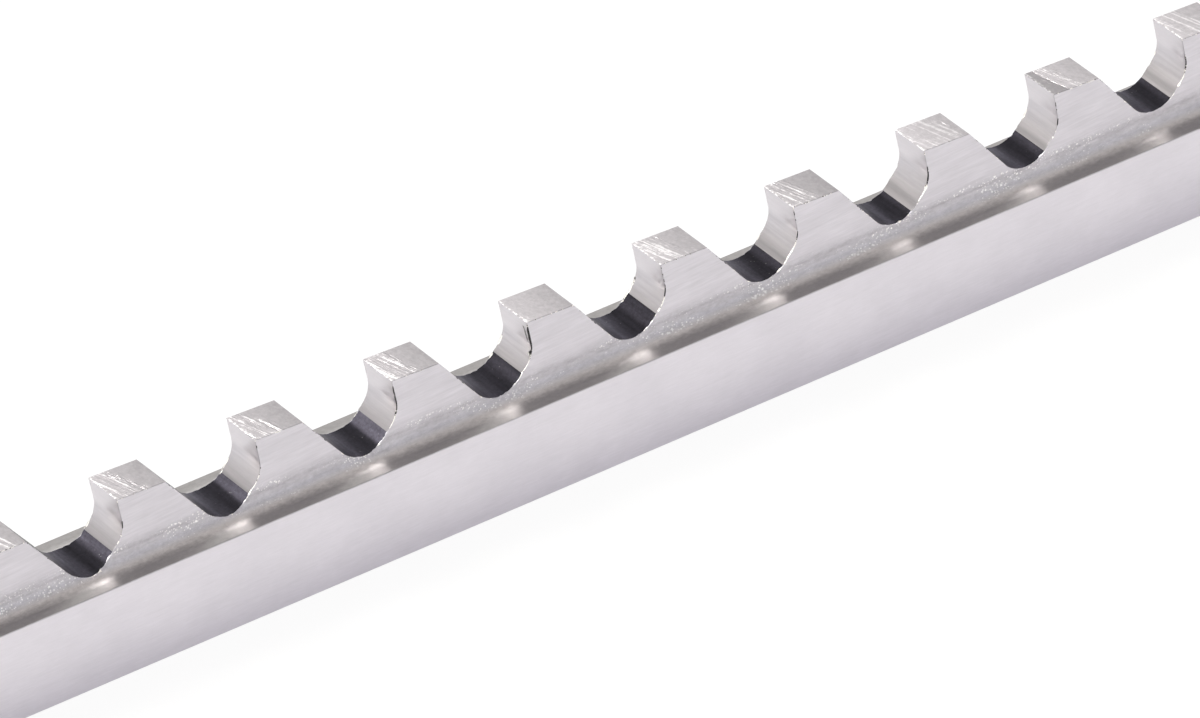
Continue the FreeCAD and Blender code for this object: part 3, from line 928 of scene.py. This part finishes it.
def ground_rakes():
    """The cutting faces: ground across the rib, rosier low down, painted shadow where one burr folds
    twice.
    """
    graph = Graph("ground_rakes")
    place = graph.millimetres()
    depth = graph.depth(place)
    bands = graph.cloud(graph.drawn_out(place, CROSSWISE, 0.3, 6.5), 1.0, 3.0, 0.65)
    grit = graph.cloud(graph.drawn_out(place, CROSSWISE, 3.0, 9.0), 1.0, 3.0, 0.75)
    slant = graph.math("ADD", depth, graph.product(graph.part(place, 1), -0.22))
    low = graph.span(slant, 1.4, 2.4, smooth=True)
    colour = graph.blend(low, tinted(STEEL, 0.65), tinted(ROSY_STEEL, 0.66))
    depth_of_bands = graph.span(slant, 1.1, 1.5, 0.13, 0.36)
    banded = graph.product(graph.math("SUBTRACT", bands, 0.5), depth_of_bands)
    # Painted shade down the rake faces, and painted light near their near edge part way down.
    at_near_edge = graph.product(
        graph.span(graph.part(place, 1), -0.3, -1.0, smooth=True),
        graph.span(depth, 0.5, 1.0, smooth=True), graph.span(depth, 1.6, 1.2, smooth=True))
    painted_near_edge_light = graph.span(at_near_edge, 0.0, 1.0, 1.0, 1.38)
    shade = graph.product(
        graph.math("ADD", banded, 1.0), graph.span(grit, 0.3, 0.7, 0.98, 1.02),
        graph.product(graph.ramp(depth, 0.0, 3.2, RAKE_SHADES), 2.0), painted_near_edge_light)
    colour = graph.scaled(colour, shade)
    # A painted shadow along the fold of the burr that is folded twice.
    waver = graph.span(graph.cloud(place, 4.0), 0.3, 0.7, -0.03, 0.03)
    inward = graph.math("ADD", graph.math("ADD", graph.part(place, 1), HALF_RIB), waver)
    aside = graph.math("ADD", inward, graph.product(depth, 0.11))
    aside = graph.math("ABSOLUTE", graph.math("SUBTRACT", aside, 0.41))
    folded = [float(tooth == TWICE_FOLDED) for tooth in TEETH]
    painted_fold_shadow = graph.product(
        graph.span(aside, 0.085, 0.045), graph.by_tooth(folded, place),
        graph.span(depth, 0.36, 0.42), graph.span(depth, 1.35, 1.1, 0.0, 0.85))
    colour = graph.blend(painted_fold_shadow, colour, PAINTED_BURR_SHADE)
    return graph.metal(colour, RAKE_ROUGHNESS, CROSSWISE, 0.65)


def dark_gullets():
    """The unground gullets: dark, with faint lines across the rib, a painted highlight beside some
    rakes.
    """
    graph = Graph("dark_gullets")
    place = graph.millimetres()
    bands = graph.cloud(graph.drawn_out(place, CROSSWISE, 0.2, 2.6), 1.0, 3.0, 0.6)
    grit = graph.cloud(place, 7.0, 3.0, 0.7)
    behind = graph.behind(place)
    # Painted shade round each gullet, and a painted highlight next to some rake faces.
    painted_gullet_highlight = [PAINTED_GULLET_HIGHLIGHTS.get(tooth + 1, 0.0) for tooth in TEETH]
    painted_gullet_highlight = graph.product(
        graph.by_tooth(painted_gullet_highlight, place), graph.span(behind, 6.7, 6.95, smooth=True), 2.0)
    shade = graph.product(
        graph.span(bands, 0.3, 0.7, 0.65, 1.4), graph.span(grit, 0.3, 0.7, 0.75, 1.25),
        graph.product(graph.ramp(behind, 0.0, TOOTH_PITCH, GULLET_SHADES), 5.0),
        graph.math("ADD", painted_gullet_highlight, 1.0))
    specks = graph.dots(place, 4.5, graph.span(graph.cloud(place, 1.3), 0.5, 0.7, 0.0, 0.03))
    colour = graph.blend(specks, UNGROUND, UNGROUND_SPECK)
    colour = graph.scaled(colour, shade)
    graph.relief(graph.math("ADD", bands, grit), 0.006)
    return graph.metal(colour, 0.5, CROSSWISE, 0.5)


def ground_ends():
    """The end faces and their bevels, ground across the bar, with painted shade darker at the front
    end.
    """
    graph = Graph("ground_ends")
    place = graph.millimetres()
    lines = graph.cloud(graph.drawn_out(place, CROSSWISE, 0.3, 7.0), 1.0, 3.0, 0.6)
    # Painted shade: the front end is darker than the rear end.
    shade = graph.product(
        graph.span(lines, 0.3, 0.7, 0.9, 1.08), graph.span(graph.part(place, 0), -1, 1, 0.6, 0.85))
    colour = graph.scaled(Vector(STEEL), shade)
    graph.relief(lines, 0.005)
    return graph.metal(colour, 0.42, CROSSWISE, 0.6)


def burred_edges():
    """The burrs beside the rake faces: painted shade on folds high up, painted glints in flecks lower
    down.
    """
    graph = Graph("burred_edges")
    place = graph.millimetres()
    flecks = graph.cloud(place, 5.5, 3.0, 0.7)
    lower = graph.span(graph.depth(place), LIP_CHANGE - 0.35, LIP_CHANGE + 0.1, -0.13, 0.13)
    on_land = graph.span(graph.depth(place), 0.3, 0.15, 0.0, 0.2)
    share = graph.span(graph.math("ADD", graph.math("ADD", flecks, lower), on_land), 0.49, 0.55)
    colour = graph.blend(share, PAINTED_BURR_SHADE, PAINTED_BURR_GLINT)
    graph.relief(flecks, 0.02)
    return graph.metal(colour, 0.4, CROSSWISE, 0.0)


# The table's half width in metres, its colour, and the share of plain white that the camera sees.
FLOOR_REACH = 3.0
FLOOR_COLOUR = (0.9, 0.9, 0.9, 1)
FLOOR_GLOW = 0.9


def add_floor():
    """A wide table that the camera sees as white, and that still takes the shadow."""
    corners = [(-1, -1), (1, -1), (1, 1), (-1, 1)]
    mesh = bpy.data.meshes.new("floor")
    mesh.from_pydata([(x * FLOOR_REACH, y * FLOOR_REACH, 0) for x, y in corners], [], [(0, 1, 2, 3)])
    floor = bpy.data.objects.new("floor", mesh)
    bpy.context.collection.objects.link(floor)
    graph = Graph("white_table")
    nodes, links, shader = graph.nodes, graph.links, graph.shader
    shader.inputs["Base Color"].default_value = FLOOR_COLOUR
    shader.inputs["Roughness"].default_value = 0.9
    shader.inputs["Specular IOR Level"].default_value = 0.0
    glow = nodes.new("ShaderNodeEmission")
    glow.inputs["Color"].default_value = (1, 1, 1, 1)
    glow.inputs["Strength"].default_value = 1.0
    mix = nodes.new("ShaderNodeMixShader")
    path = nodes.new("ShaderNodeLightPath")
    share = nodes.new("ShaderNodeMath")
    share.operation = "MULTIPLY"
    share.inputs[1].default_value = FLOOR_GLOW
    links.new(path.outputs["Is Camera Ray"], share.inputs[0])
    links.new(share.outputs[0], mix.inputs["Fac"])
    links.new(shader.outputs["BSDF"], mix.inputs[1])
    links.new(glow.outputs["Emission"], mix.inputs[2])
    links.new(mix.outputs["Shader"], nodes["Material Output"].inputs["Surface"])
    mesh.materials.append(graph.material)


# The studio's colour by the height of a direction, from level to straight up, and its soft round
# lights: direction, the cosines at the outer and inner rim, level and tint.
SKY_LEVELS = (
    (0.0, (0.85, 0.85, 0.85)), (0.25, (0.78, 0.78, 0.78)), (0.56, (0.62, 0.62, 0.62)),
    (0.8, (0.525, 0.49, 0.492)), (1.0, (0.37, 0.34, 0.345)),
)
SOFT_LIGHTS = (
    ((-0.65, -0.2, 0.74), 0.8, 0.95, 1.2, (1.0, 1.0, 1.0)),
    ((-0.35, 0.41, 0.84), 0.93, 0.98, 2.6, (1.0, 1.0, 1.0)),
    ((-0.60, 0.41, 0.69), 0.98, 0.993, 33.0, (1.0, 0.98, 0.90)),
    ((0.4, 0.75, 0.45), 0.6, 0.9, 0.33, (1.0, 1.0, 1.0)),
    ((-0.8, 0.6, 0.05), 0.8, 0.95, 0.42, (1.0, 1.0, 1.0)),
)


def add_world():
    """A studio that is bright low down and dimmer overhead, with soft lights round the object."""
    world = bpy.data.worlds.new("studio")
    bpy.context.scene.world = world
    world.use_nodes = True
    nodes, links = world.node_tree.nodes, world.node_tree.links
    nodes.clear()
    place = nodes.new("ShaderNodeTexCoord")
    split = nodes.new("ShaderNodeSeparateXYZ")
    ramp = nodes.new("ShaderNodeValToRGB")
    sky = nodes.new("ShaderNodeBackground")
    output = nodes.new("ShaderNodeOutputWorld")
    links.new(place.outputs["Generated"], split.inputs[0])
    links.new(split.outputs["Z"], ramp.inputs["Fac"])
    ramp.color_ramp.elements[0].position = SKY_LEVELS[0][0]
    ramp.color_ramp.elements[0].color = (*SKY_LEVELS[0][1], 1)
    ramp.color_ramp.elements[1].position = SKY_LEVELS[-1][0]
    ramp.color_ramp.elements[1].color = (*SKY_LEVELS[-1][1], 1)
    for position, level in SKY_LEVELS[1:-1]:
        ramp.color_ramp.elements.new(position).color = (*level, 1)
    total = ramp.outputs["Color"]
    for direction, outer, inner, level, tint in SOFT_LIGHTS:
        facing = nodes.new("ShaderNodeVectorMath")
        facing.operation = "DOT_PRODUCT"
        links.new(place.outputs["Generated"], facing.inputs[0])
        facing.inputs[1].default_value = Vector(direction).normalized()
        glow = nodes.new("ShaderNodeMapRange")
        glow.interpolation_type = "SMOOTHSTEP"
        glow.inputs["From Min"].default_value = outer
        glow.inputs["From Max"].default_value = inner
        glow.inputs["To Max"].default_value = level
        links.new(facing.outputs["Value"], glow.inputs["Value"])
        add = nodes.new("ShaderNodeVectorMath")
        add.operation = "MULTIPLY_ADD"
        add.inputs[0].default_value = tint
        links.new(glow.outputs["Result"], add.inputs[1])
        links.new(total, add.inputs[2])
        total = add.outputs["Vector"]
    links.new(total, sky.inputs["Color"])
    links.new(sky.outputs["Background"], output.inputs["Surface"])


# The camera of the photo. It looks at a place in the middle of the rib, between two teeth.
PHOTO_WIDTH = 1200
SENSOR_WIDTH = 36.0
FOCAL_PIXELS = 15662
CAMERA_AZIMUTH = math.radians(-36.845)
CAMERA_ELEVATION = math.radians(34.368)
CAMERA_DISTANCE = 710.4
TARGET_TOOTH = 7
TARGET_BEHIND = 2.592
TARGET_BELOW_LEDGE = 0.747


def add_camera():
    """Set up the camera at the photo's viewing angle."""
    data = bpy.data.cameras.new("camera")
    data.sensor_width = SENSOR_WIDTH
    data.lens = FOCAL_PIXELS / PHOTO_WIDTH * SENSOR_WIDTH
    data.clip_start = 0.01
    data.clip_end = 20.0
    camera = bpy.data.objects.new("camera", data)
    back = Vector((
        math.sin(CAMERA_AZIMUTH) * math.cos(CAMERA_ELEVATION),
        -math.cos(CAMERA_AZIMUTH) * math.cos(CAMERA_ELEVATION),
        math.sin(CAMERA_ELEVATION),
    ))
    right = Vector((0, 0, 1)).cross(back).normalized()
    up = back.cross(right)
    target = Vector((
        cutting_edge(TARGET_TOOTH)[0] - TARGET_BEHIND, 0, BODY_HEIGHT - TARGET_BELOW_LEDGE))
    place = (target + back * CAMERA_DISTANCE) * MM
    camera.matrix_world = Matrix.Translation(place) @ Matrix((right, up, back)).transposed().to_4x4()
    bpy.context.collection.objects.link(camera)
    bpy.context.scene.camera = camera


finishes = [
    ground_sides(),
    ground_lands(),
    ground_rakes(),
    dark_gullets(),
    ground_ends(),
    burred_edges(),
]
broach = broach_mesh(finishes)
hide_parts(NODE)
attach(broach, "root")

add_floor()
add_world()
add_camera()
bpy.context.scene.view_settings.view_transform = "Standard"
